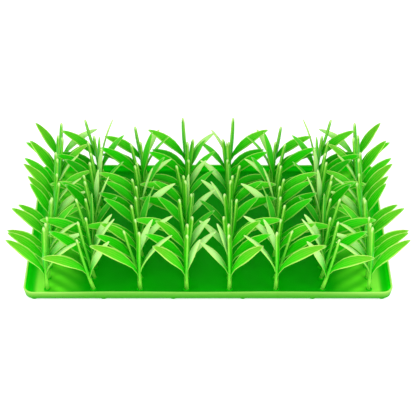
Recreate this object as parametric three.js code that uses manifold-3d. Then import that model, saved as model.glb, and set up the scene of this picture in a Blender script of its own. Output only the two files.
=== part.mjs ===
import * as THREE from 'three';
import { mergeVertices } from 'three/addons/utils/BufferGeometryUtils.js';
import Module from 'manifold-3d';

// Lick mat in moulded silicone: a shallow tray whose floor carries columns of soft grass plants.
// Millimetres, +Z up. The origin is the middle of the footprint, on the surface the feet stand on.

const { degToRad } = THREE.MathUtils;

// Tray
const matWidth = 324;
const matDepth = 182;
const cornerRadius = 9;
const cornerSteps = 3;
const rimHeight = 10;
const rimThickness = 1.8;
const rimRound = 0.5;
const wallFlare = 1.2;
const floorThickness = 2.2;
const filletTurns = [0, 30, 60, 90];

// Feet under the tray
const footHeight = 1.2;
const footRadius = 3.8;
const footTipRadius = 3.2;
const footSides = 8;
const footColumns = [-152.5, -91.5, -30.5, 30.5, 91.5, 152.5];
const footRows = [-86, 0, 86];

// Planting: plants stand in columns that run from the front of the mat to its back
const plantsPerColumn = 12;
const plantPitch = 14.5;
const stripWidth = 6;
const stripThickness = 1.1;
const stripEnd = 2.6;
const fitGap = 0.3;

// Leaves: three to a plant, fanned out across the mat, each blade's width running front to back.
// The upright leaf is also the plant's stem, and the two side leaves grow out of it at the fork.
// A leaf bends by a fixed angle and by a share of its lean, all in degrees, and makes the early share
// of that bend over its petiole.
const forkHeight = 9.5;
const rootDepth = 0.55;
const leafThickness = 2;
const keelShare = 2 / 3;
const petioleShare = 0.3;
const leafKinds = {
  upright: { side: 1, yaw: 3, backLean: 4, roll: 24, bend: 6, bendShare: 0, early: 0.25, width: 6.4 },
  outer: { side: -1, yaw: 8, backLean: 1, roll: 40, bend: 0, bendShare: 1.75, early: 0.55, width: 9.2 },
  inner: { side: 1, yaw: 12.5, backLean: 2, roll: 40, bend: 0, bendShare: 2, early: 0.42, width: 6.8 },
  crossing: { side: 1, yaw: 18, backLean: 2, roll: 40, bend: 0, bendShare: 1.7, early: 0.5, width: 6 },
};

// Sections of a leaf from root to tip: place along it, share of its width, share of its thickness
const uprightSections = [
  { along: 0, width: 0.52, thickness: 1.7 },
  { along: 0.22, width: 0.48, thickness: 1.5 },
  { along: 0.44, width: 0.8, thickness: 1.35 },
  { along: 0.68, width: 1, thickness: 1.25 },
  { along: 0.9, width: 0.72, thickness: 1.15 },
  { along: 1, width: 0.4, thickness: 1 },
];
const sideSections = [
  { along: 0, width: 0.18, thickness: 0.6 },
  { along: 0.2, width: 0.24, thickness: 0.85 },
  { along: 0.38, width: 0.62, thickness: 0.9 },
  { along: 0.62, width: 1, thickness: 0.85 },
  { along: 0.85, width: 0.66, thickness: 0.7 },
  { along: 1, width: 0.18, thickness: 0.4 },
];

// Columns of the left half, from the side to the middle; the right half is mirrored. Each takes its
// plants from the growth list by its own step, with its own share of their sway and of their lift.
const columns = [
  { fromMiddle: 142, step: 1, swayShare: 1, liftShare: 1 },
  { fromMiddle: 101, step: 7, swayShare: -1.4, liftShare: 1.4 },
  { fromMiddle: 60, step: 5, swayShare: -1.4, liftShare: 1.4 },
  { fromMiddle: 19, step: 11, swayShare: -2.2, liftShare: 1.2 },
];

// Leaves of each column's usual plant, of its front plant and of its back plant. Lean is the angle from
// upright to the leaf's chord, positive to the leaf's own side, and reach is the leaf's length.
const usualPlants = [
  { uprightLean: 3, uprightReach: 62, outerLean: 28, outerReach: 59, innerLean: 40, innerReach: 54 },
  { uprightLean: -9, uprightReach: 62, outerLean: 35, outerReach: 60, innerLean: 20, innerReach: 58 },
  { uprightLean: -7, uprightReach: 57, outerLean: 36, outerReach: 62, innerLean: 28, innerReach: 60 },
  { uprightLean: 1, uprightReach: 60, outerLean: 32, outerReach: 60, innerLean: 18, innerReach: 52 },
];
const frontPlants = [
  { uprightLean: 1.5, uprightReach: 68, outerLean: 31, outerReach: 61, innerLean: 40, innerReach: 54 },
  { uprightLean: -12, uprightReach: 57, outerLean: 51, outerReach: 56, innerLean: 24, innerReach: 47 },
  { uprightLean: 1, uprightReach: 63, outerLean: 42, outerReach: 65, innerLean: 33, innerReach: 58 },
  { uprightLean: 1, uprightReach: 60, outerLean: 33, outerReach: 54, innerLean: 16, innerReach: 47 },
];
const backPlants = [
  { uprightLean: 3, uprightReach: 62, outerLean: 20, outerReach: 61, innerLean: 42, innerReach: 60 },
  { uprightLean: -13, uprightReach: 68, outerLean: 35, outerReach: 63, innerLean: 14, innerReach: 59 },
  { uprightLean: -9, uprightReach: 59, outerLean: 40, outerReach: 59, innerLean: 20, innerReach: 48 },
  { uprightLean: -4, uprightReach: 68, outerLean: 36, outerReach: 65, innerLean: 22, innerReach: 48 },
];

// Every second plant beside the middle lane has its inner leaf reach across it
const crossingLean = 37;
const crossingReach = 48;

// Uneven growth from plant to plant: sway of the whole plant and lift of its side leaves in degrees,
// and size as a share of the usual one
const growth = [
  { sway: 0, stretch: 1, outerLift: 0, innerLift: 0 },
  { sway: -1.5, stretch: 0.98, outerLift: -4, innerLift: -4 },
  { sway: -2, stretch: 0.9, outerLift: -12, innerLift: 1 },
  { sway: 0.5, stretch: 1.02, outerLift: -4, innerLift: 12 },
  { sway: 0, stretch: 0.87, outerLift: -5, innerLift: -5 },
  { sway: 5, stretch: 0.96, outerLift: 4, innerLift: 4 },
  { sway: 2, stretch: 0.94, outerLift: 3, innerLift: 9 },
  { sway: 1, stretch: 1.03, outerLift: 1, innerLift: -3 },
  { sway: -1.5, stretch: 0.97, outerLift: 1, innerLift: 12 },
  { sway: 3, stretch: 1.07, outerLift: 3, innerLift: 10 },
  { sway: -2, stretch: 0.94, outerLift: -2, innerLift: -3 },
  { sway: 0, stretch: 1, outerLift: 7, innerLift: 4 },
];

// Twist of the inner leaves in degrees, taken by turns
const innerTwists = [-45, 5, -40, 0, -15, 10];

// Plants of each column whose outer leaf droops, and by how many degrees
const droopingRows = [[], [3, 4, 7, 10], [3, 7, 8], [1, 3, 5, 7, 8]];
const droop = 14;

// Finish
const trayColour = 0x35b014;
const leafColour = 0x4cc41f;
const siliconeRoughness = 0.4;

const floorTop = footHeight + floorThickness;
const floorFillet = rimHeight - rimRound - floorTop;
const stripLength = (plantsPerColumn - 1) * plantPitch + 2 * stripEnd;

// Wall section from the underside, up the outside, over the rim and down a fillet to the floor
const wallSection = [
  { inset: wallFlare, height: footHeight },
  { inset: wallFlare - rimRound, height: footHeight + rimRound },
  { inset: 0, height: rimHeight - rimRound },
  { inset: rimRound, height: rimHeight },
  { inset: rimThickness - rimRound, height: rimHeight },
  ...filletTurns.map((turn) => ({
    inset: rimThickness + floorFillet * (1 - Math.cos(degToRad(turn))),
    height: floorTop + floorFillet * (1 - Math.sin(degToRad(turn))),
  })),
];

const wasm = await Module();
wasm.setup();

function toSolid(geometry) {
  const bare = geometry.clone();
  bare.deleteAttribute('normal');
  bare.deleteAttribute('uv');
  const merged = mergeVertices(bare);
  return new wasm.Manifold(
    new wasm.Mesh({
      numProp: 3,
      vertProperties: new Float32Array(merged.attributes.position.array),
      triVerts: new Uint32Array(merged.index.array),
    }),
  );
}

function toMesh(solid, name, color) {
  const { vertProperties, triVerts } = solid.getMesh();
  const geometry = new THREE.BufferGeometry();
  geometry.setAttribute('position', new THREE.BufferAttribute(new Float32Array(vertProperties), 3));
  geometry.setIndex(new THREE.BufferAttribute(new Uint32Array(triVerts), 1));
  geometry.computeVertexNormals();
  const silicone = new THREE.MeshStandardMaterial({ color, roughness: siliconeRoughness, metalness: 0 });
  const mesh = new THREE.Mesh(geometry, silicone);
  mesh.name = name;
  return mesh;
}

// Closed skin over a row of convex rings with equal point counts
function loft(rings) {
  const count = rings[0].length;
  const last = (rings.length - 1) * count;
  const index = [];
  for (let start = 0; start < last; start += count) {
    for (let i = 0; i < count; i++) {
      const a = start + i;
      const b = start + ((i + 1) % count);
      index.push(a, b, b + count, a, b + count, a + count);
    }
  }
  for (let i = 1; i + 1 < count; i++) {
    index.push(0, i + 1, i);
    index.push(last, last + i, last + i + 1);
  }
  const geometry = new THREE.BufferGeometry().setFromPoints(rings.flat());
  geometry.setIndex(index);
  return geometry;
}

function roundedOutline(inset, height) {
  const x = matWidth / 2 - inset;
  const y = matDepth / 2 - inset;
  const r = cornerRadius - inset;
  const shape = new THREE.Shape();
  shape.absarc(x - r, y - r, r, 0, Math.PI / 2);
  shape.absarc(r - x, y - r, r, Math.PI / 2, Math.PI);
  shape.absarc(r - x, r - y, r, Math.PI, 1.5 * Math.PI);
  shape.absarc(x - r, r - y, r, 1.5 * Math.PI, 2 * Math.PI);
  return shape.getPoints(cornerSteps).map((p) => new THREE.Vector3(p.x, p.y, height));
}

function foot(x, y) {
  const height = footHeight + floorThickness / 2;
  const geometry = new THREE.CylinderGeometry(footRadius, footTipRadius, height, footSides);
  geometry.rotateX(Math.PI / 2);
  geometry.translate(x, y, height / 2);
  return toSolid(geometry);
}

// Groove in the tray's floor that a planting strip lies in, flush with the floor
function groove(x) {
  const depth = stripThickness + fitGap;
  const geometry = new THREE.BoxGeometry(stripWidth + 2 * fitGap, stripLength + 2 * fitGap, 2 * depth);
  geometry.translate(x, 0, floorTop);
  return toSolid(geometry);
}

function tray(columnPlaces) {
  let solid = toSolid(loft(wallSection.map(({ inset, height }) => roundedOutline(inset, height))));
  for (const x of footColumns) {
    for (const y of footRows) {
      solid = solid.add(foot(x, y));
    }
  }
  for (const x of columnPlaces) {
    solid = solid.subtract(groove(x));
  }
  return solid;
}

// Centre line of a leaf: an arc over its petiole and another over its blade. hand is 1 in the mat's left
// half and -1 in the right.
function leafLine(root, hand, kind, lean, length) {
  const { side, yaw, backLean, bend, bendShare, early } = leafKinds[kind];
  const turn = degToRad(yaw);
  const tilt = degToRad(backLean);
  const out = new THREE.Vector3(hand * side * Math.cos(turn), side * Math.sin(turn), 0);
  const rise = new THREE.Vector3(0, Math.sin(tilt), Math.cos(tilt));
  const arc = degToRad(bend + bendShare * lean);
  const petioleArc = early * arc;
  const bladeArc = arc - petioleArc;
  const petioleRadius = (petioleShare * length) / petioleArc;
  const bladeRadius = ((1 - petioleShare) * length) / bladeArc;
  const rootAngle = degToRad(lean) - (arc * (early + 1 - petioleShare)) / 2;
  return (along) => {
    const elbow = rootAngle + petioleArc * Math.min(along / petioleShare, 1);
    const angle = elbow + bladeArc * Math.max((along - petioleShare) / (1 - petioleShare), 0);
    const centre = root
      .clone()
      .addScaledVector(out, petioleRadius * (Math.cos(rootAngle) - Math.cos(elbow)))
      .addScaledVector(rise, petioleRadius * (Math.sin(elbow) - Math.sin(rootAngle)))
      .addScaledVector(out, bladeRadius * (Math.cos(elbow) - Math.cos(angle)))
      .addScaledVector(rise, bladeRadius * (Math.sin(angle) - Math.sin(elbow)));
    const tangent = new THREE.Vector3()
      .addScaledVector(out, Math.sin(angle))
      .addScaledVector(rise, Math.cos(angle))
      .normalize();
    return { centre, tangent };
  };
}

// Three-sided blade along a centre line: a flat upper face over a keel.
// breadth is a share of the kind's width, and twist is added to its roll.
function blade(line, hand, kind, sections, breadth, twist) {
  const { side, roll, width } = leafKinds[kind];
  const facing = hand * side;
  const rings = sections.map((section) => {
    const { centre, tangent } = line(section.along);
    const across = new THREE.Vector3(0, facing, 0);
    across.addScaledVector(tangent, -across.dot(tangent)).normalize();
    across.applyAxisAngle(tangent, facing * degToRad(roll + twist));
    const upper = new THREE.Vector3().crossVectors(tangent, across);
    const halfWidth = (breadth * width * section.width) / 2;
    const thickness = leafThickness * section.thickness;
    const edge = centre.clone().addScaledVector(upper, (1 - keelShare) * thickness);
    const keel = centre.clone().addScaledVector(upper, -keelShare * thickness);
    return [
      edge.clone().addScaledVector(across, -halfWidth),
      keel,
      edge.clone().addScaledVector(across, halfWidth),
    ];
  });
  return toSolid(loft(rings));
}

function plantLeaves(plant, columnIndex, row) {
  const { x, y, hand } = plant;
  const { step, swayShare, liftShare } = columns[columnIndex];
  const atBack = row === plantsPerColumn - 1;
  const endPlants = atBack ? backPlants : frontPlants;
  const form = (row === 0 || atBack ? endPlants : usualPlants)[columnIndex];
  const { sway, stretch, outerLift, innerLift } = growth[atBack ? 0 : (row * step) % growth.length];
  const swayed = sway * swayShare;
  const besideMiddle = columnIndex === columns.length - 1;
  const crosses = besideMiddle && (row + (hand > 0 ? 0 : 1)) % 2 === 1;
  const innerKind = crosses ? 'crossing' : 'inner';
  const innerLean = crosses ? crossingLean : form.innerLean + swayed - innerLift * liftShare;
  const innerReach = crosses ? crossingReach : form.innerReach * stretch;
  const innerTwist = crosses ? 0 : innerTwists[(row + columnIndex) % innerTwists.length];
  const drooped = droopingRows[columnIndex].includes(row) ? droop : 0;
  const outerLean = form.outerLean + drooped - swayed - outerLift * liftShare;
  const uprightReach = form.uprightReach * stretch;
  const root = new THREE.Vector3(x, y, floorTop - rootDepth);
  const upright = leafLine(root, hand, 'upright', form.uprightLean + swayed, uprightReach);
  const fork = upright(forkHeight / uprightReach).centre;
  const outer = leafLine(fork, hand, 'outer', outerLean, form.outerReach * stretch);
  const inner = leafLine(fork, hand, innerKind, innerLean, innerReach);
  return [
    blade(upright, hand, 'upright', uprightSections, 1, 0),
    blade(outer, hand, 'outer', sideSections, stretch, 0),
    blade(inner, hand, innerKind, sideSections, crosses ? 1 : stretch, innerTwist),
  ];
}

// A planting strip with its plants, moulded as one
function grassStrip(x, hand, columnIndex) {
  const geometry = new THREE.BoxGeometry(stripWidth, stripLength, stripThickness);
  geometry.translate(x, 0, floorTop - stripThickness / 2);
  let solid = toSolid(geometry);
  for (let row = 0; row < plantsPerColumn; row++) {
    const plant = { x, y: (row - (plantsPerColumn - 1) / 2) * plantPitch, hand };
    for (const grassBlade of plantLeaves(plant, columnIndex, row)) {
      solid = solid.add(grassBlade);
    }
  }
  return solid;
}

// Columns from left to right, each with its half's hand and its place in the table
const planting = [
  ...columns.map((column, index) => ({ x: -column.fromMiddle, hand: 1, index })),
  ...columns.map((column, index) => ({ x: column.fromMiddle, hand: -1, index })).reverse(),
];

const mat = new THREE.Group();
mat.add(toMesh(tray(planting.map(({ x }) => x)), 'tray', trayColour));
planting.forEach(({ x, hand, index }, place) => {
  mat.add(toMesh(grassStrip(x, hand, index), `grass_strip_${place + 1}`, leafColour));
});

export default mat;
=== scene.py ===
import math

import bmesh
import bpy
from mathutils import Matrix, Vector


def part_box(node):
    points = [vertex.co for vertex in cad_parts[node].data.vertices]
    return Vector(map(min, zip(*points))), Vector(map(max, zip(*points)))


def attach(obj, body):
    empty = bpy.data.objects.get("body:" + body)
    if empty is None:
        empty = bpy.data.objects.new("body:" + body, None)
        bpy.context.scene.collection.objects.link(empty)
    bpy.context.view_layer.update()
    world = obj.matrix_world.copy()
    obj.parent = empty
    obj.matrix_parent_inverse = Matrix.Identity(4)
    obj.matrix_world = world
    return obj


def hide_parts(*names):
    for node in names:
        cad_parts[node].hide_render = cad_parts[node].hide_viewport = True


# Lick mat in moulded silicone: a shallow tray planted with columns of soft grass. Metres, +Z up.

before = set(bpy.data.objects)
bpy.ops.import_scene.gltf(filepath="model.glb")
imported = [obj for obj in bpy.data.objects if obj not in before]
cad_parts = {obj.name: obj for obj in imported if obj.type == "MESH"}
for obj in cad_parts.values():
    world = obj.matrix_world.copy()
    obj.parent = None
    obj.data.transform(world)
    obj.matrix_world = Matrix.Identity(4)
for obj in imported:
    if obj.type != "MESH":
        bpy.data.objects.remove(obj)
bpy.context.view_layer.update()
scene = bpy.context.scene
mm = 0.001
print("frame loaded:", len(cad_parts), "nodes")


class Wire:  # an output socket that takes arithmetic
    def __init__(self, graph, socket):
        self.graph = graph
        self.socket = socket

    def __add__(self, other):
        return self.graph.maths("ADD", self, other)

    def __radd__(self, other):
        return self.graph.maths("ADD", other, self)

    def __sub__(self, other):
        return self.graph.maths("SUBTRACT", self, other)

    def __rsub__(self, other):
        return self.graph.maths("SUBTRACT", other, self)

    def __mul__(self, other):
        return self.graph.maths("MULTIPLY", self, other)

    def __rmul__(self, other):
        return self.graph.maths("MULTIPLY", other, self)

    def __truediv__(self, other):
        return self.graph.maths("DIVIDE", self, other)

    def __pow__(self, other):
        return self.graph.maths("POWER", self, other)

    def __abs__(self):
        return self.graph.maths("ABSOLUTE", self)

    def also(self, output):  # another output of the same node
        return Wire(self.graph, self.socket.node.outputs[output])


def isVector(value):
    if isinstance(value, Wire):
        return value.socket.type == "VECTOR"
    return isinstance(value, tuple)


class Graph:  # a node tree under construction
    def __init__(self, tree):
        self.tree = tree

    def node(self, kind, settings=None, sockets=None, output=0):
        made = self.tree.nodes.new(kind)
        for name, value in (settings or {}).items():
            if name == "curvePoints":
                self.setCurve(made.mapping, value)
            else:
                setattr(made, name, value)
        for name, value in (sockets or {}).items():
            if isinstance(value, Wire):
                self.tree.links.new(value.socket, made.inputs[name])
            else:
                made.inputs[name].default_value = value
        return Wire(self, made.outputs[output]) if len(made.outputs) else made

    def setCurve(self, mapping, points):
        curve = mapping.curves[0]
        while len(curve.points) < len(points):
            curve.points.new(0.5, 0.5)
        for point, place in zip(curve.points, points):
            point.location = place
            point.handle_type = "AUTO_CLAMPED"
        mapping.update()

    def maths(self, operation, *values, output=0):
        vectors = [isVector(value) for value in values]
        if any(vectors) and not all(vectors):  # a number scales a vector
            scaled = {0: values[vectors.index(True)], "Scale": values[vectors.index(False)]}
            return self.node("ShaderNodeVectorMath", {"operation": "SCALE"}, scaled)
        kind = "ShaderNodeVectorMath" if any(vectors) else "ShaderNodeMath"
        return self.node(kind, {"operation": operation}, dict(enumerate(values)), output)

    def blend(self, factor, first, second):  # colours
        settings = {"data_type": "RGBA", "blend_type": "MIX"}
        return self.node("ShaderNodeMix", settings, {0: factor, 6: first, 7: second}, 2)

    def between(self, value, low, high):  # soft step from 0 to 1
        settings = {"interpolation_type": "SMOOTHSTEP"}
        return self.node("ShaderNodeMapRange", settings, {0: value, 1: low, 2: high})

    def noise(self, place, scale, detail):
        return self.node("ShaderNodeTexNoise", None, {"Vector": place, "Scale": scale, "Detail": detail})

    def ramp(self, value, band, ends):  # soft step over a band, from one number to another
        low, high = ends
        return low + self.between(value, *band) * (high - low)

    def ripple(self, phase):  # wave between 0 and 1
        return self.maths("SINE", phase) * 0.5 + 0.5

    def attribute(self, name):  # a number that the mesh carries
        return self.node("ShaderNodeAttribute", {"attribute_name": name}, None, "Fac")

    def bump(self, height, strength, distance):
        sockets = {"Height": height, "Strength": strength, "Distance": distance}
        return self.node("ShaderNodeBump", None, sockets)

    def choose(self, flag, off, on):  # numbers
        return off + (on - off) * flag

    def join(self, *geometries):
        joined = self.tree.nodes.new("GeometryNodeJoinGeometry")
        for geometry in geometries:
            self.tree.links.new(geometry.socket, joined.inputs[0])
        return Wire(self, joined.outputs[0])


def startMaterial(name):
    material = bpy.data.materials.new(name)
    material.use_nodes = True
    material.node_tree.nodes.clear()
    return material, Graph(material.node_tree)


def finishMaterial(graph, surface, uniform):
    shader = graph.node("ShaderNodeBsdfPrincipled", None, {**uniform, **surface})
    graph.node("ShaderNodeOutputMaterial", None, {"Surface": shader})


def srgb(red, green, blue):  # display values 0 to 255 to a linear colour
    linear = [((v / 255 + 0.055) / 1.055) ** 2.4 if v > 10 else v / 3294.6 for v in (red, green, blue)]
    return (*linear, 1.0)


# Finishes

traySiliconeLook = {
    "floor": srgb(0, 142, 0),
    "cloud": srgb(1, 152, 1),
    "cloudScale": 22.0,
    "cloudDetail": 3.0,
    "cloudBand": (0.35, 0.65),  # of the noise, from the floor's colour to the cloud's
    "streakReflection": srgb(94, 222, 34),  # slanting painted reflections in the outermost lanes
    "streakIn": (106 * mm, 134 * mm),  # from the middle line, as are streakOut, marginIn and marginOut
    "streakOut": (140 * mm, 146 * mm),
    "streakPitch": 14.5 * mm,
    "streakSlope": 0.71,
    "streakWarp": 3.0,  # how far the clouds bend the streaks, in radians
    "streakShare": 0.4,  # of the painted reflection's colour, all over its lane
    "streakWave": 0.5,  # and how much more on the waves
    "marginLight": srgb(124, 222, 60),  # painted light on the floor between the wall and the outermost plants
    "marginIn": (139 * mm, 146 * mm),
    "marginOut": (150 * mm, 156 * mm),
    "marginBack": (-80 * mm, -20 * mm),  # it fades over this stretch, from the front on
    "marginShare": (1.0, 0.4),  # in front of that stretch and behind it
    "gutterLight": srgb(14, 196, 6),  # painted light on the floor beside the end walls
    "inside": srgb(14, 232, 6),  # painted light on the inner face of the wall
    "insideLightFrom": (3.7 * mm, 6 * mm),  # heights
    "wall": srgb(40, 150, 5),
    # painted highlight along the top of the rim
    "lip": srgb(166, 220, 100),
    "lipHighlightSides": (90 * mm, 150 * mm),  # the painted highlight on the lip gets paler towards the sides
    "lipHighlightShare": (0.6, 1.0),
    "grainScale": 900.0,
    "grainDetail": 2.0,
    "grainDepth": 0.04 * mm,
    "grainStrength": 0.5,
    "roughness": (0.30, 0.42),
    "roughBand": (0.3, 0.7),  # of the clouds
}
siliconeBody = {
    "IOR": 1.43,
    "Specular IOR Level": 0.07,
    "Specular Tint": (0.16, 1.0, 0.04, 1.0),
    "Subsurface Weight": 0.2,
    "Subsurface Scale": 2 * mm,
    "Subsurface Radius": (0.35, 1.0, 0.15),
}


def traySilicone(look):
    material, graph = startMaterial("traySilicone")
    place = graph.node("ShaderNodeTexCoord", None, None, "Object")
    x = graph.node("ShaderNodeSeparateXYZ", None, {0: place})
    y, z = x.also("Y"), x.also("Z")
    fromMiddle = abs(x)
    cloud = graph.noise(place, look["cloudScale"], look["cloudDetail"])
    grain = graph.noise(place, look["grainScale"], look["grainDetail"])
    colour = graph.blend(graph.between(cloud, *look["cloudBand"]), look["floor"], look["cloud"])
    # Painted reflections: slanting pale streaks in the outermost lanes
    slant = (y - fromMiddle * look["streakSlope"]) * (math.tau / look["streakPitch"])
    wave = graph.ripple(slant + cloud * look["streakWarp"])
    reflectionLane = graph.between(fromMiddle, *look["streakIn"]) * (1 - graph.between(fromMiddle, *look["streakOut"]))
    colour = graph.blend(reflectionLane * (look["streakShare"] + wave * look["streakWave"]), colour, look["streakReflection"])
    gutterLight = graph.between(fromMiddle, *look["marginOut"])
    # painted light on the floor next to the outermost plants, fading from the front to the back
    marginLight = graph.between(fromMiddle, *look["marginIn"]) * (1 - gutterLight)
    frontLight = graph.ramp(y, look["marginBack"], look["marginShare"])
    colour = graph.blend(marginLight * frontLight, colour, look["marginLight"])
    # painted light on the floor beside the end walls
    colour = graph.blend(gutterLight, colour, look["gutterLight"])
    # painted light on the upper part of the wall's inner face
    colour = graph.blend(graph.between(z, *look["insideLightFrom"]), colour, look["inside"])
    colour = graph.blend(graph.attribute("trayOutside"), colour, look["wall"])
    # painted highlight along the lip, stronger towards the sides
    lip = graph.attribute("trayLip") * graph.ramp(fromMiddle, look["lipHighlightSides"], look["lipHighlightShare"])
    colour = graph.blend(lip, colour, look["lip"])
    roughness = graph.ramp(cloud, look["roughBand"], look["roughness"])
    bump = graph.bump(grain, look["grainStrength"], look["grainDepth"])
    finishMaterial(graph, {"Base Color": colour, "Roughness": roughness, "Normal": bump}, siliconeBody)
    return material


leafSiliconeLook = {
    "deep": srgb(0, 162, 0),  # by painted light and shade a leaf is deep green in shade, then blade, then lit green
    "blade": srgb(3, 197, 0),
    "bladeBand": (0.15, 0.65),
    "fresh": srgb(96, 174, 28),
    "litBand": (0.5, 1.0),
    "litShareBand": (0.3, 0.9),  # of painted light, where veins, specks and the painted rim highlights get stronger
    # painted sheen: inner leaves paler, as if lit from the sides
    "pale": srgb(196, 240, 150),
    "paleBand": (0.25, 0.75),  # along the leaf, as are fleshBand, rimStart, tipBand and rootBand
    "vein": srgb(128, 206, 50),
    "veins": 5.0,
    "veinShare": (0.5, 0.43, 0.35),  # how much, and how much less on uprights and on pale leaves
    "veinDepth": 0.10 * mm,
    "veinStrength": 0.6,
    "greenLines": 0.3,  # between the veins of pale leaves
    "fleshBand": (0.1, 0.4),  # where veins and specks begin
    "fleshLeast": 0.15,  # of them on the most shaded leaves
    "speckBand": (0.45, 0.75),  # of the grain
    "speckShare": (0.04, 0.3),  # how much, and how much more on pale leaves
    # painted highlight along the leaf edges; the grain specks take this colour too
    "rim": srgb(198, 240, 112),
    "rimBand": (0.7, 0.86),  # from the leaf's middle towards its edge
    "rimStart": (0.02, 0.2),
    "rimShare": (0.35, 0.5, 0.4),  # how much, how much more on lit leaves and less on uprights
    # painted highlight on the leaf tips
    "tip": srgb(214, 246, 160),
    "tipBand": (0.93, 1.0),
    "tipShare": (0.25, 0.4, 0.5),  # how much, and how much more on pale leaves and on uprights
    "root": srgb(164, 250, 84),  # painted light on the foot of a stem that stands free, against the shade there
    "rootBand": (0.0, 0.45),
    "grainScale": 1100.0,
    "grainDetail": 2.0,
    "grainShare": 0.3,  # of the relief, beside the veins
    "roughness": (0.34, 0.50),
    "roughBand": (0.3, 0.7),  # of the grain
}


def leafSilicone(look):
    material, graph = startMaterial("leafSilicone")
    along, across, fresh = [graph.attribute(name) for name in ("bladeAlong", "bladeAcross", "bladeFresh")]
    sheen, upright, shade = [graph.attribute(name) for name in ("leafTone", "leafUpright", "leafShade")]
    place = graph.node("ShaderNodeTexCoord", None, None, "Object")
    grain = graph.noise(place, look["grainScale"], look["grainDetail"])
    # painted light and shade: deep green where shaded, pale yellow-green where lit
    colour = graph.blend(graph.between(fresh, *look["bladeBand"]), look["deep"], look["blade"])
    colour = graph.blend(graph.between(fresh, *look["litBand"]), colour, look["fresh"])
    # painted pale sheen on the inner leaves
    colour = graph.blend(sheen * graph.between(along, *look["paleBand"]), colour, look["pale"])
    # veins and grain specks show more where the painted light is stronger
    litShare = graph.between(fresh, *look["litShareBand"])
    flesh = graph.between(along, *look["fleshBand"])
    flesh *= look["fleshLeast"] + litShare * (1 - look["fleshLeast"])
    vein = graph.ripple(across * (look["veins"] * math.pi))
    usual, lessUpright, lessPale = look["veinShare"]
    veined = vein * flesh * (usual - upright * lessUpright - sheen * lessPale)
    colour = graph.blend(veined, colour, look["vein"])
    colour = graph.blend((1 - vein) * sheen * look["greenLines"], colour, look["blade"])
    usual, morePale = look["speckShare"]
    speck = graph.between(grain, *look["speckBand"]) * flesh * (usual + sheen * morePale)
    # grain specks, in the colour of the painted rim highlight
    colour = graph.blend(speck, colour, look["rim"])
    # painted highlight along the edges, stronger on lit leaves
    usual, moreLit, lessUpright = look["rimShare"]
    rim = graph.between(abs(across), *look["rimBand"]) * graph.between(along, *look["rimStart"])
    colour = graph.blend(rim * (usual + litShare * moreLit - upright * lessUpright), colour, look["rim"])
    # painted highlight on the tips, more on pale leaves and stems
    usual, morePale, moreUpright = look["tipShare"]
    tip = graph.between(along, *look["tipBand"]) * (usual + sheen * morePale + upright * moreUpright)
    colour = graph.blend(tip, colour, look["tip"])
    # painted light on the foot of free-standing stems, less on shaded ones
    root = upright * (1 - graph.between(along, *look["rootBand"])) * (1 - shade)
    colour = graph.blend(root, colour, look["root"])
    roughness = graph.ramp(grain, look["roughBand"], look["roughness"])
    bump = graph.bump(vein + grain * look["grainShare"], look["veinStrength"], look["veinDepth"])
    finishMaterial(graph, {"Base Color": colour, "Roughness": roughness, "Normal": bump}, siliconeBody)
    return material


def addSockets(tree, values):  # named inputs, after the geometry
    kinds = {float: "NodeSocketFloat", int: "NodeSocketInt", bpy.types.Material: "NodeSocketMaterial"}
    tree.interface.new_socket("Geometry", in_out="INPUT", socket_type="NodeSocketGeometry")
    tree.interface.new_socket("Geometry", in_out="OUTPUT", socket_type="NodeSocketGeometry")
    for name, value in values.items():
        tree.interface.new_socket(name, in_out="INPUT", socket_type=kinds[type(value)])


def applyTree(piece, tree, values):  # run a tree on a piece and keep the result as a plain mesh
    modifier = piece.modifiers.new(tree.name, "NODES")
    modifier.node_group = tree
    for item in tree.interface.items_tree:
        if item.in_out == "INPUT" and item.name in values:
            modifier[item.identifier] = values[item.name]
    depsgraph = bpy.context.evaluated_depsgraph_get()
    evaluated = piece.evaluated_get(depsgraph)
    finished = bpy.data.meshes.new_from_object(evaluated, preserve_all_data_layers=True, depsgraph=depsgraph)
    piece.modifiers.remove(modifier)
    old = piece.data
    piece.data = finished
    finished.name = old.name
    bpy.data.meshes.remove(old)


def addPiece(name, mesh):
    piece = bpy.data.objects.new(name, mesh)
    scene.collection.objects.link(piece)
    return piece


# Tray

trayLow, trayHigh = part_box("tray")
trayLook = {
    "width": trayHigh.x - trayLow.x,
    "depth": trayHigh.y - trayLow.y,
    "rimHeight": trayHigh.z,
    "cornerRadius": 9 * mm,
    "cornerSteps": 8,
    "sideStep": 5 * mm,
    "wallFlare": 1.2 * mm,
    "wallThickness": 1.8 * mm,
    "heelRound": 1.3 * mm,
    "floorThickness": 2.2 * mm,
    "arcSteps": 7,
    "floorRings": 16,
    "undersideRing": 0.5,  # one more ring of the underside, this share of the way in
    "underside": 0.1 * mm,  # what is no higher than this over the feet stays flat
    "swell": 0.45 * mm,  # soft rise and fall of the floor
    "swellFrom": 8 * mm,  # begins this far from the edge
    "swellRise": 14 * mm,  # and is full this much further in
    "swellWaves": (190, 1.1, 120, 40),  # radians a metre along X, start, along Y, and slant with X
    "waver": 0.3 * mm,  # unevenness of the soft rim
    "waverWaves": (47, 83),  # radians a metre along X and along Y
    "lipHighlightPower": 7,  # over 1 keeps the painted lip highlight near the top of the wall
    "lipHighlightInside": 0.2,  # of the wall's thickness, how far the painted lip highlight reaches down inside
    "mergeWithin": 0.01 * mm,
    "shortestEdge": 0.001 * mm,
}
footLook = {
    "Foot Height": 1.2 * mm,
    "Foot Radius": 3.8 * mm,
    "Foot Segments": 20,
    "Foot Rings": 10,
    "Foot Middle": 1.4,  # height of the rounded form's middle, as a share of the foot's height
    "Foot Crown": 2.4 * mm,  # half height of the rounded form, cut flat below
    "Foot Root": 2.3 * mm,  # and here, within the tray's floor
    "Foot Columns": 6,
    "Foot Rows": 3,
    "Foot Span X": 305 * mm,
    "Foot Span Y": 172 * mm,
}


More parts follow.
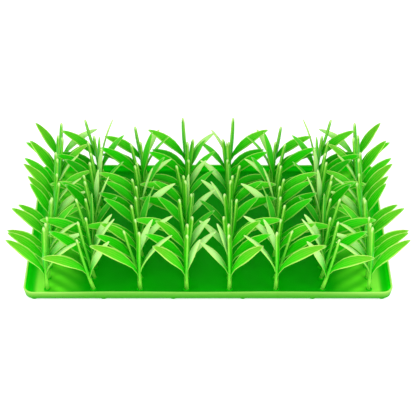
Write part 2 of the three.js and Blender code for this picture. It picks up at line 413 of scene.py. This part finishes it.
def arc(centre, radius, start, end, steps):  # points (inset, height) on a turn of the wall's section
    turns = [math.radians(start + (end - start) * i / steps) for i in range(steps + 1)]
    return [(centre[0] + radius * math.cos(t), centre[1] + radius * math.sin(t)) for t in turns]


def traySection(look):
    footHeight = footLook["Foot Height"]
    floorTop = footHeight + look["floorThickness"]
    heel = look["heelRound"]
    lip = look["wallThickness"] / 2
    fillet = look["rimHeight"] - lip - floorTop
    steps = look["arcSteps"]
    middle = look["depth"] / 2
    outside = [(middle, footHeight), (middle * look["undersideRing"], footHeight)]
    outside += arc((look["wallFlare"] + heel, footHeight + heel), heel, 270, 180, steps)
    outside += arc((lip, look["rimHeight"] - lip), lip, 180, 90, steps)
    inside = arc((lip, look["rimHeight"] - lip), lip, 90, 0, steps)[1:]
    inside += arc((look["wallThickness"] + fillet, floorTop + fillet), fillet, 180, 270, steps)[1:]
    floorEdge = inside[-1][0]
    for ring in range(1, look["floorRings"] + 1):
        inside.append((floorEdge + (middle - floorEdge) * ring / look["floorRings"], floorTop))
    return outside, inside


def trayRing(look, inset, height):
    halfX = look["width"] / 2 - inset
    halfY = look["depth"] / 2 - inset
    radius = max(look["cornerRadius"] - inset, 0)
    corners = [(halfX - radius, radius - halfY), (halfX - radius, halfY - radius),
               (radius - halfX, halfY - radius), (radius - halfX, radius - halfY)]
    sideSteps = [round(look["depth"] / look["sideStep"]), round(look["width"] / look["sideStep"])]
    ring = []
    for place, corner in enumerate(corners):
        start = 90 * (place - 1)
        for step in range(look["cornerSteps"] + 1):
            turn = math.radians(start + 90 * step / look["cornerSteps"])
            offset = Vector((radius * math.cos(turn), radius * math.sin(turn), 0))
            ring.append(Vector((*corner, height)) + offset)
        following = corners[(place + 1) % 4]
        count = sideSteps[place % 2]
        for step in range(1, count):
            share = step / count
            x = corner[0] + (following[0] - corner[0]) * share
            y = corner[1] + (following[1] - corner[1]) * share
            ring.append(Vector((x, y, height)) + offset)
    return ring


def soften(look, point):  # slight unevenness of a soft moulding
    floorTop = footLook["Foot Height"] + look["floorThickness"]
    if point.z < footLook["Foot Height"] + look["underside"]:
        return
    edge = min(look["width"] / 2 - abs(point.x), look["depth"] / 2 - abs(point.y))
    inside = min(max((edge - look["swellFrom"]) / look["swellRise"], 0), 1)
    upper = min(max((point.z - floorTop) / (look["rimHeight"] - floorTop), 0), 1)
    alongX, start, alongY, slant = look["swellWaves"]
    wave = math.sin(point.x * alongX + start)
    point.z += look["swell"] * inside * wave * math.cos(point.y * alongY + point.x * slant)
    alongX, alongY = look["waverWaves"]
    point.z += look["waver"] * upper * (math.sin(point.x * alongX + point.y * alongY) - 1)


def lipHighlightShare(look, height, isOutside):  # how far a ring of the wall is up to the rim, 1 on the rim: the share of the painted lip highlight
    if isOutside:
        return max(height / look["rimHeight"], 0) ** look["lipHighlightPower"]
    return float(height > look["rimHeight"] - look["lipHighlightInside"] * look["wallThickness"])


def trayShell(look):
    mesh = bmesh.new()
    outsideLayer = mesh.verts.layers.float.new("trayOutside")
    # share of the painted lip highlight on each ring
    lipHighlightLayer = mesh.verts.layers.float.new("trayLip")
    outside, inside = traySection(look)
    rings = []
    for number, (inset, height) in enumerate(outside + inside):
        points = trayRing(look, inset, height)
        for point in points:
            soften(look, point)
        rings.append([mesh.verts.new(point) for point in points])
        for vertex in rings[-1]:
            vertex[outsideLayer] = float(number < len(outside))
            vertex[lipHighlightLayer] = lipHighlightShare(look, height, number < len(outside))
    count = len(rings[0])
    for lower, upper in zip(rings, rings[1:]):
        for i in range(count):
            j = (i + 1) % count
            mesh.faces.new((lower[i], lower[j], upper[j], upper[i]))
    bmesh.ops.remove_doubles(mesh, verts=mesh.verts, dist=look["mergeWithin"])
    bmesh.ops.dissolve_degenerate(mesh, edges=mesh.edges, dist=look["shortestEdge"])
    bmesh.ops.recalc_face_normals(mesh, faces=mesh.faces)
    for face in mesh.faces:
        face.smooth = True
    data = bpy.data.meshes.new("trayShell")
    mesh.to_mesh(data)
    mesh.free()
    return addPiece("trayShell", data)


def footTree(values):  # rounded feet on a grid under the tray
    tree = bpy.data.node_groups.new("trayFeet", "GeometryNodeTree")
    addSockets(tree, values)
    graph = Graph(tree)
    given = graph.node("NodeGroupInput")
    grid = graph.node("GeometryNodeMeshGrid", None, {
        "Size X": given.also("Foot Span X"), "Size Y": given.also("Foot Span Y"),
        "Vertices X": given.also("Foot Columns"), "Vertices Y": given.also("Foot Rows")})
    ball = graph.node("GeometryNodeMeshUVSphere", None, {
        "Segments": given.also("Foot Segments"), "Rings": given.also("Foot Rings"),
        "Radius": given.also("Foot Radius")})
    x = graph.node("ShaderNodeSeparateXYZ", None, {0: graph.node("GeometryNodeInputPosition")})
    share = x.also("Z") / given.also("Foot Radius")
    middle = given.also("Foot Height") * given.also("Foot Middle")
    height = middle + share * given.also("Foot Crown")
    height = graph.maths("MINIMUM", graph.maths("MAXIMUM", height, 0.0), given.also("Foot Root"))
    flat = graph.node("ShaderNodeCombineXYZ", None, {"X": x, "Y": x.also("Y"), "Z": height})
    foot = graph.node("GeometryNodeSetPosition", None, {"Geometry": ball, "Position": flat})
    foot = graph.node("GeometryNodeStoreNamedAttribute", {"data_type": "FLOAT", "domain": "POINT"},
                      {"Geometry": foot, "Name": "trayOutside", "Value": 1.0})
    feet = graph.node("GeometryNodeInstanceOnPoints", None, {"Points": grid, "Instance": foot})
    feet = graph.node("GeometryNodeRealizeInstances", None, {"Geometry": feet})
    both = graph.join(feet, given)
    smooth = graph.node("GeometryNodeSetShadeSmooth", None, {"Geometry": both})
    dressed = graph.node("GeometryNodeSetMaterial", None, {
        "Geometry": smooth, "Material": given.also("Silicone")})
    graph.node("NodeGroupOutput", None, {"Geometry": dressed})
    return tree


trayInputs = {**footLook, "Silicone": traySilicone(traySiliconeLook)}
tray = trayShell(trayLook)
applyTree(tray, footTree(trayInputs), trayInputs)
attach(tray, "root")
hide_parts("tray")
print("tray shell:", len(tray.data.polygons), "faces")


# Grass

plantLook = {
    "plantsPerColumn": 12,
    "pitch": 14.5 * mm,
    "forkHeight": 9.5 * mm,
    "rootDepth": 0.55 * mm,  # of a stem, under the top of the floor
    "droop": 14,  # degrees
    "freeShade": 0.35,  # share of the usual shade on plants that stand free, in front and at the ends
    "crossingLean": 37,  # of the leaves that reach over the middle lane, and their reach in mm
    "crossingReach": 48,
}
bladeLook = {
    "Sides": 8,
    "Lengths": 10,
    "Petiole Share": 0.3,  # part of a leaf that makes its early bend
    "Leaf Thickness": 2 * mm,
    "Tip Crowding": 1.5,  # over 1 draws the rings towards the tip
    "Edge Squareness": 0.16,  # under 1 pushes the upper face out to blunt edges
    "Dish": 0.4,  # hollow along the middle of the upper face
    "Keel Share": 2 / 3,  # of the thickness, below the edges
    "Collar Radius": 2.1 * mm,
    "Collar Thickness": 0.7 * mm,
    "Collar Lift": 0.6 * mm,
    "Collar Steps": 12,
    "Collar Sides": 5,
    # painted light on the collars
    "Collar Light": 0.5,
    "Collar Along": 0.6,  # has the colour of a leaf at this share of its length
    # painted light on the stems, at their foot
    "Stem Light": 0.36,
    "Stem Light Gain": 0.45,  # gain of painted light from the foot of a stem to its tip
    "Base Light": 0.4,  # painted light at a side leaf's foot, as a share of that at its tip
    "Sheen Spread": 0.95,  # how far the greener leaves stay from the painted pale sheen
    "Greener From": 0.45,  # of the random draw, from pale leaves
    "Greener By": 0.6,  # to greener ones
    "Shade Spread": 0.9,  # how far the most shaded side leaves stay from lit green: painted shade
    "Seed": 7,
}

# Angles in degrees: yaw turns a leaf to the front or back. It bends by a fixed angle and a share of its lean,
# and makes the early share of that over its petiole. Pale sheen is how much painted sheen its blade carries.
leafKinds = {
    "upright": {"side": 1, "yaw": 3, "backLean": 4, "roll": 24, "bend": 6, "bendShare": 0, "early": 0.25,
                "width": 6.4, "pale": 0.0},
    "outer": {"side": -1, "yaw": 8, "backLean": 1, "roll": 40, "bend": 0, "bendShare": 1.75, "early": 0.55,
              "width": 9.2, "pale": 0.015},
    "inner": {"side": 1, "yaw": 12.5, "backLean": 2, "roll": 40, "bend": 0, "bendShare": 2, "early": 0.42,
              "width": 6.8, "pale": 1.0},
    "crossing": {"side": 1, "yaw": 18, "backLean": 2, "roll": 40, "bend": 0, "bendShare": 1.7, "early": 0.5,
                 "width": 6, "pale": 1.0},
}

# Place along a leaf, share of its width, share of its thickness
uprightSections = [(0, 0.52, 1.7), (0.22, 0.48, 1.5), (0.44, 0.8, 1.35), (0.68, 1, 1.25), (0.9, 0.72, 1.15),
                   (0.97, 0.52, 1.05), (1, 0.24, 0.6)]
sideSections = [(0, 0.18, 0.6), (0.2, 0.24, 0.85), (0.38, 0.62, 0.9), (0.62, 1, 0.85), (0.85, 0.66, 0.7),
                (0.97, 0.28, 0.48), (1, 0.1, 0.25)]

# Columns of the left half from the side to the middle: place in mm, step through the growth list, sway, lift
columns = [(142, 1, 1, 1), (101, 7, -1.4, 1.4), (60, 5, -1.4, 1.4), (19, 11, -2.2, 1.2)]

# Lean and reach of the upright, outer and inner leaf, of each column's usual, front and back plant
usualPlants = [(3, 62, 28, 59, 40, 54), (-9, 62, 35, 60, 20, 58),
               (-7, 57, 36, 62, 28, 60), (1, 60, 32, 60, 18, 52)]
frontPlants = [(1.5, 68, 31, 61, 40, 54), (-12, 57, 51, 56, 24, 47),
               (1, 63, 42, 65, 33, 58), (1, 60, 33, 54, 16, 47)]
backPlants = [(3, 62, 20, 61, 42, 60), (-13, 68, 35, 63, 14, 59),
              (-9, 59, 40, 59, 20, 48), (-4, 68, 36, 65, 22, 48)]

# Sway, size, lift of the outer leaf and lift of the inner leaf, from plant to plant
growth = [(0, 1, 0, 0), (-1.5, 0.98, -4, -4), (-2, 0.9, -12, 1), (0.5, 1.02, -4, 12), (0, 0.87, -5, -5),
          (5, 0.96, 4, 4), (2, 0.94, 3, 9), (1, 1.03, 1, -3), (-1.5, 0.97, 1, 12), (3, 1.07, 3, 10),
          (-2, 0.94, -2, -3), (0, 1, 7, 4)]

innerTwists = [-45, 5, -40, 0, -15, 10]  # of the inner leaves in degrees, taken by turns
droopingRows = [[], [3, 4, 7, 10], [3, 7, 8], [1, 3, 5, 7, 8]]  # by column, plants whose outer leaf droops


def leafLine(root, hand, kind, lean, length, breadth=1, twist=0):  # a petiole arc, then a blade arc
    form = leafKinds[kind]
    petioleShare = bladeLook["Petiole Share"]
    turn = math.radians(form["yaw"])
    tilt = math.radians(form["backLean"])
    bend = math.radians(form["bend"] + form["bendShare"] * lean)
    petioleBend = form["early"] * bend
    return {
        "kind": kind,
        "root": root,
        "out": Vector((hand * form["side"] * math.cos(turn), form["side"] * math.sin(turn), 0)),
        "rise": Vector((0, math.sin(tilt), math.cos(tilt))),
        "rootAngle": math.radians(lean) - bend * (form["early"] + 1 - petioleShare) / 2,
        "petioleBend": petioleBend,
        "bladeBend": bend - petioleBend,
        "petioleRadius": petioleShare * length / petioleBend,
        "bladeRadius": (1 - petioleShare) * length / (bend - petioleBend),
        "facing": hand * form["side"],
        "halfWidth": breadth * form["width"] * mm / 2,
        "roll": hand * form["side"] * math.radians(form["roll"] + twist),
    }


def linePoint(leaf, along):
    petioleShare = bladeLook["Petiole Share"]
    start = leaf["rootAngle"]
    elbow = start + leaf["petioleBend"] * min(along / petioleShare, 1)
    angle = elbow + leaf["bladeBend"] * max((along - petioleShare) / (1 - petioleShare), 0)
    sideways = leaf["petioleRadius"] * (math.cos(start) - math.cos(elbow))
    sideways += leaf["bladeRadius"] * (math.cos(elbow) - math.cos(angle))
    upwards = leaf["petioleRadius"] * (math.sin(elbow) - math.sin(start))
    upwards += leaf["bladeRadius"] * (math.sin(angle) - math.sin(elbow))
    return leaf["root"] + leaf["out"] * sideways + leaf["rise"] * upwards


def plantLeaves(look, x, hand, column, row, floorTop):
    step, swayShare, liftShare = columns[column][1:]
    atBack = row == look["plantsPerColumn"] - 1
    sway, stretch, outerLift, innerLift = growth[0 if atBack else (row * step) % len(growth)]
    forms = backPlants if atBack else frontPlants if row == 0 else usualPlants
    uprightLean, uprightReach, outerLean, outerReach, innerLean, innerReach = forms[column]
    crosses = column == len(columns) - 1 and (row + (0 if hand > 0 else 1)) % 2 == 1
    innerKind = "crossing" if crosses else "inner"
    innerLean = look["crossingLean"] if crosses else innerLean + sway * swayShare - innerLift * liftShare
    innerReach = look["crossingReach"] if crosses else innerReach * stretch
    innerTwist = 0 if crosses else innerTwists[(row + column) % len(innerTwists)]
    outerLean = outerLean - sway * swayShare - outerLift * liftShare
    outerLean += look["droop"] if row in droopingRows[column] else 0
    y = (row - (look["plantsPerColumn"] - 1) / 2) * look["pitch"]
    root = Vector((x, y, floorTop - look["rootDepth"]))
    uprightLength = uprightReach * stretch * mm
    upright = leafLine(root, hand, "upright", uprightLean + sway * swayShare, uprightLength)
    fork = linePoint(upright, look["forkHeight"] / uprightLength)
    outer = leafLine(fork, hand, "outer", outerLean, outerReach * stretch * mm, stretch)
    innerBreadth = 1 if crosses else stretch
    inner = leafLine(fork, hand, innerKind, innerLean, innerReach * mm, innerBreadth, innerTwist)
    shade = look["freeShade"] if row == 0 or column == 0 else 1
    return [{**leaf, "shade": shade} for leaf in (upright, outer, inner)]


def leafPoints(name, leaves):  # one point for each leaf, with its form as attributes
    mesh = bpy.data.meshes.new(name)
    mesh.from_pydata([leaf["root"] for leaf in leaves], [], [])
    vectors = {
        "leafRoot": [leaf["root"] for leaf in leaves],
        "leafOut": [leaf["out"] for leaf in leaves],
        "leafRise": [leaf["rise"] for leaf in leaves],
        "leafBends": [(leaf["rootAngle"], leaf["petioleBend"], leaf["bladeBend"]) for leaf in leaves],
        "leafRadii": [(leaf["petioleRadius"], leaf["bladeRadius"], 0) for leaf in leaves],
        "leafForm": [(leaf["halfWidth"], leaf["roll"], leaf["facing"]) for leaf in leaves],
    }
    for attribute, values in vectors.items():
        layer = mesh.attributes.new(attribute, "FLOAT_VECTOR", "POINT")
        layer.data.foreach_set("vector", [v for vector in values for v in vector])
    numbers = {
        "leafUpright": [float(leaf["kind"] == "upright") for leaf in leaves],
        "leafPale": [leafKinds[leaf["kind"]]["pale"] for leaf in leaves],
        "leafShade": [leaf["shade"] for leaf in leaves],
    }
    for attribute, values in numbers.items():
        layer = mesh.attributes.new(attribute, "FLOAT", "POINT")
        layer.data.foreach_set("value", values)
    return addPiece(name, mesh)


def grassTree(values):  # a bent blade on each point, and a collar where a stem stands
    tree = bpy.data.node_groups.new("grassColumn", "GeometryNodeTree")
    addSockets(tree, values)
    graph = Graph(tree)
    given = graph.node("NodeGroupInput")

    def read(name, kind):
        return graph.node("GeometryNodeInputNamedAttribute", {"data_type": kind}, {"Name": name})

    def store(geometry, name, kind, value):
        return graph.node("GeometryNodeStoreNamedAttribute", {"data_type": kind, "domain": "POINT"},
                          {"Geometry": geometry, "Name": name, "Value": value})

    def parts(vector):
        split = graph.node("ShaderNodeSeparateXYZ", None, {0: vector})
        return split, split.also("Y"), split.also("Z")

    def section(share, column):  # share along the leaf to its width or thickness there
        largest = 2  # a curve holds no more than 1
        curves = []
        for rows in (sideSections, uprightSections):
            points = [(row[0], row[column] / largest) for row in rows]
            curves.append(graph.node("ShaderNodeFloatCurve", {"curvePoints": points}, {"Value": share}))
        return graph.choose(read("leafUpright", "FLOAT"), *curves) * largest

    # painted pale sheen, stronger or weaker at random from leaf to leaf
    spread = graph.node("FunctionNodeRandomValue", {"data_type": "FLOAT"}, {"Seed": given.also("Seed")}, 1)
    greener = graph.between(spread, given.also("Greener From"), given.also("Greener By"))
    sheen = read("leafPale", "FLOAT") * (1 - greener * given.also("Sheen Spread"))
    roots = store(given, "leafTone", "FLOAT", sheen)
    shade = graph.node("FunctionNodeRandomValue", {"data_type": "FLOAT"}, {"Seed": given.also("Seed") + 1}, 1)
    shade = shade * given.also("Shade Spread") * read("leafShade", "FLOAT")
    roots = store(roots, "leafShade", "FLOAT", shade)
    tube = graph.node("GeometryNodeMeshCylinder", {"fill_type": "NGON"}, {
        "Vertices": given.also("Sides"), "Side Segments": given.also("Lengths"), "Radius": 1.0, "Depth": 1.0})
    tube = store(tube, "tubePlace", "FLOAT_VECTOR", graph.node("GeometryNodeInputPosition"))
    blades = graph.node("GeometryNodeInstanceOnPoints", None, {"Points": roots, "Instance": tube})
    blades = graph.node("GeometryNodeRealizeInstances", None, {"Geometry": blades})

    tubeX, tubeY, tubeZ = parts(read("tubePlace", "FLOAT_VECTOR"))
    rootAngle, petioleBend, bladeBend = parts(read("leafBends", "FLOAT_VECTOR"))
    petioleRadius, bladeRadius = parts(read("leafRadii", "FLOAT_VECTOR"))[:2]
    halfWidth, roll, facing = parts(read("leafForm", "FLOAT_VECTOR"))
    out = read("leafOut", "FLOAT_VECTOR")
    rise = read("leafRise", "FLOAT_VECTOR")
    along = 1 - (0.5 - tubeZ) ** given.also("Tip Crowding")
    petioleShare = given.also("Petiole Share")
    overPetiole = graph.maths("MINIMUM", along / petioleShare, 1.0)
    overBlade = graph.maths("MAXIMUM", (along - petioleShare) / (1 - petioleShare), 0.0)
    elbow = rootAngle + petioleBend * overPetiole
    angle = elbow + bladeBend * overBlade
    startCos, elbowCos, angleCos = [graph.maths("COSINE", a) for a in (rootAngle, elbow, angle)]
    startSin, elbowSin, angleSin = [graph.maths("SINE", a) for a in (rootAngle, elbow, angle)]
    sideways = petioleRadius * (startCos - elbowCos) + bladeRadius * (elbowCos - angleCos)
    upwards = petioleRadius * (elbowSin - startSin) + bladeRadius * (angleSin - elbowSin)
    centre = read("leafRoot", "FLOAT_VECTOR") + out * sideways + rise * upwards
    tangent = graph.maths("NORMALIZE", out * angleSin + rise * angleCos)
    level = graph.node("ShaderNodeCombineXYZ", None, {"Y": facing})
    level = level - tangent * graph.maths("DOT_PRODUCT", level, tangent, output="Value")
    level = graph.maths("NORMALIZE", level)
    across = level * graph.maths("COSINE", roll)
    across = across + graph.maths("CROSS_PRODUCT", tangent, level) * graph.maths("SINE", roll)
    upper = graph.maths("CROSS_PRODUCT", tangent, across)

    edgeHeight = 0.001  # of the tube's radius: its two edges belong to the lower face
    isUpper = graph.maths("GREATER_THAN", tubeY, edgeHeight)
    squareness = graph.choose(isUpper, 1.0, given.also("Edge Squareness"))
    wide = graph.maths("SIGN", tubeX) * abs(tubeX) ** squareness
    dished = 1 - given.also("Dish") * (1 - abs(wide))
    keel = given.also("Keel Share")
    thick = graph.choose(isUpper, tubeY * keel, dished * (1 - keel)) * given.also("Leaf Thickness")
    position = centre + across * (wide * halfWidth * section(along, 1)) + upper * (thick * section(along, 2))
    blades = graph.node("GeometryNodeSetPosition", None, {"Geometry": blades, "Position": position})
    blades = store(blades, "bladeAlong", "FLOAT", along)
    blades = store(blades, "bladeAcross", "FLOAT", wide)
    # painted light and shade along each leaf, less on shaded leaves
    stemLight = given.also("Stem Light") + along * given.also("Stem Light Gain")
    baseLight = given.also("Base Light")
    sideLight = (baseLight + along * (1 - baseLight)) * (1 - read("leafShade", "FLOAT"))
    fresh = graph.choose(read("leafUpright", "FLOAT"), sideLight, stemLight)
    blades = store(blades, "bladeFresh", "FLOAT", fresh)

    ring = graph.node("GeometryNodeCurvePrimitiveCircle", None, {
        "Resolution": given.also("Collar Steps"), "Radius": given.also("Collar Radius")})
    bead = graph.node("GeometryNodeCurvePrimitiveCircle", None, {
        "Resolution": given.also("Collar Sides"), "Radius": given.also("Collar Thickness")})
    collar = graph.node("GeometryNodeCurveToMesh", None, {"Curve": ring, "Profile Curve": bead})
    lift = graph.node("ShaderNodeCombineXYZ", None, {"Z": given.also("Collar Lift")})
    collar = graph.node("GeometryNodeSetPosition", None, {"Geometry": collar, "Offset": lift})
    collar = store(collar, "bladeFresh", "FLOAT", given.also("Collar Light"))
    collar = store(collar, "bladeAlong", "FLOAT", given.also("Collar Along"))
    collars = graph.node("GeometryNodeInstanceOnPoints", None, {
        "Points": given, "Selection": read("leafUpright", "FLOAT"), "Instance": collar})
    collars = graph.node("GeometryNodeRealizeInstances", None, {"Geometry": collars})

    smooth = graph.node("GeometryNodeSetShadeSmooth", None, {"Geometry": graph.join(collars, blades)})
    dressed = graph.node("GeometryNodeSetMaterial", None, {
        "Geometry": smooth, "Material": given.also("Silicone")})
    graph.node("NodeGroupOutput", None, {"Geometry": dressed})
    return tree


grassInputs = {**bladeLook, "Silicone": leafSilicone(leafSiliconeLook)}
grass = grassTree(grassInputs)
floorTop = footLook["Foot Height"] + trayLook["floorThickness"]
halves = [(-1, 1, column) for column in range(len(columns))]
halves += [(1, -1, column) for column in reversed(range(len(columns)))]
faces = 0
for number, (side, hand, column) in enumerate(halves, 1):
    leaves = []
    for row in range(plantLook["plantsPerColumn"]):
        leaves += plantLeaves(plantLook, side * columns[column][0] * mm, hand, column, row, floorTop)
    piece = leafPoints(f"grassColumn_{number}", leaves)
    applyTree(piece, grass, grassInputs)
    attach(piece, "root")
    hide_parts(f"grass_strip_{number}")
    faces += len(piece.data.polygons)
print("grass planted:", faces, "faces")


# Studio

studioLook = {
    "floorSize": 8.0,
    "floorTone": (0.97, 0.97, 0.97, 1),
    "floorGlow": 0.25,  # keeps the paper white under the grass
    "floorRoughness": 0.85,
    "floorGrain": 0.1,  # of roughness
    "floorGrainScale": 300.0,
    "floorGrainDetail": 2.0,
    "skyTone": (1, 1, 1, 1),
    "skyStrength": 0.95,
    "sideLamp": {"place": (0.50, -0.25, 0.40), "aim": (0.10, -0.01, 0.03), "size": 0.30, "power": 1.2},
    "frontLamp": {"place": (0, -1.25, 1.15), "aim": (0, 0, 0.02), "size": 0.7, "power": 4.5},
}
cameraLook = {
    "place": (0, -939.3 * mm, 810.75 * mm),
    "pitch": 50.27,
    "lens": 115.55,
    "sensor": 36.0,
    "farthest": 20,
}


def addFloor(look):
    half = look["floorSize"] / 2
    mesh = bpy.data.meshes.new("studioFloor")
    corners = [(-half, -half, 0), (half, -half, 0), (half, half, 0), (-half, half, 0)]
    mesh.from_pydata(corners, [], [(0, 1, 2, 3)])
    material, graph = startMaterial("floorPaper")
    place = graph.node("ShaderNodeTexCoord", None, None, "Object")
    grain = graph.noise(place, look["floorGrainScale"], look["floorGrainDetail"])
    roughness = look["floorRoughness"] + grain * look["floorGrain"]
    glow = {"Emission Color": look["floorTone"], "Emission Strength": look["floorGlow"]}
    finishMaterial(graph, {"Roughness": roughness}, {"Base Color": look["floorTone"], **glow})
    mesh.materials.append(material)
    addPiece("studioFloor", mesh)


def addLamp(name, look, mirror=1):
    lamp = bpy.data.lights.new(name, "AREA")
    lamp.shape = "DISK"
    lamp.size = look["size"]
    lamp.energy = look["power"]
    holder = addPiece(name, lamp)
    place = Vector((mirror * look["place"][0], *look["place"][1:]))
    aim = Vector((mirror * look["aim"][0], *look["aim"][1:]))
    holder.location = place
    holder.rotation_euler = (aim - place).to_track_quat("-Z", "Y").to_euler()


def addCamera(look):
    camera = bpy.data.cameras.new("photoCamera")
    camera.lens = look["lens"]
    camera.sensor_width = look["sensor"]
    camera.clip_end = look["farthest"]
    holder = addPiece("photoCamera", camera)
    holder.location = look["place"]
    holder.rotation_euler = (math.radians(look["pitch"]), 0, 0)
    scene.camera = holder


addFloor(studioLook)
addLamp("leftLamp", studioLook["sideLamp"], -1)
addLamp("rightLamp", studioLook["sideLamp"])
addLamp("frontLamp", studioLook["frontLamp"])
addCamera(cameraLook)
sky = bpy.data.worlds.new("studioSky")
sky.use_nodes = True
sky.node_tree.nodes["Background"].inputs["Color"].default_value = studioLook["skyTone"]
sky.node_tree.nodes["Background"].inputs["Strength"].default_value = studioLook["skyStrength"]
scene.world = sky
scene.view_settings.view_transform = "Standard"
print("studio set")
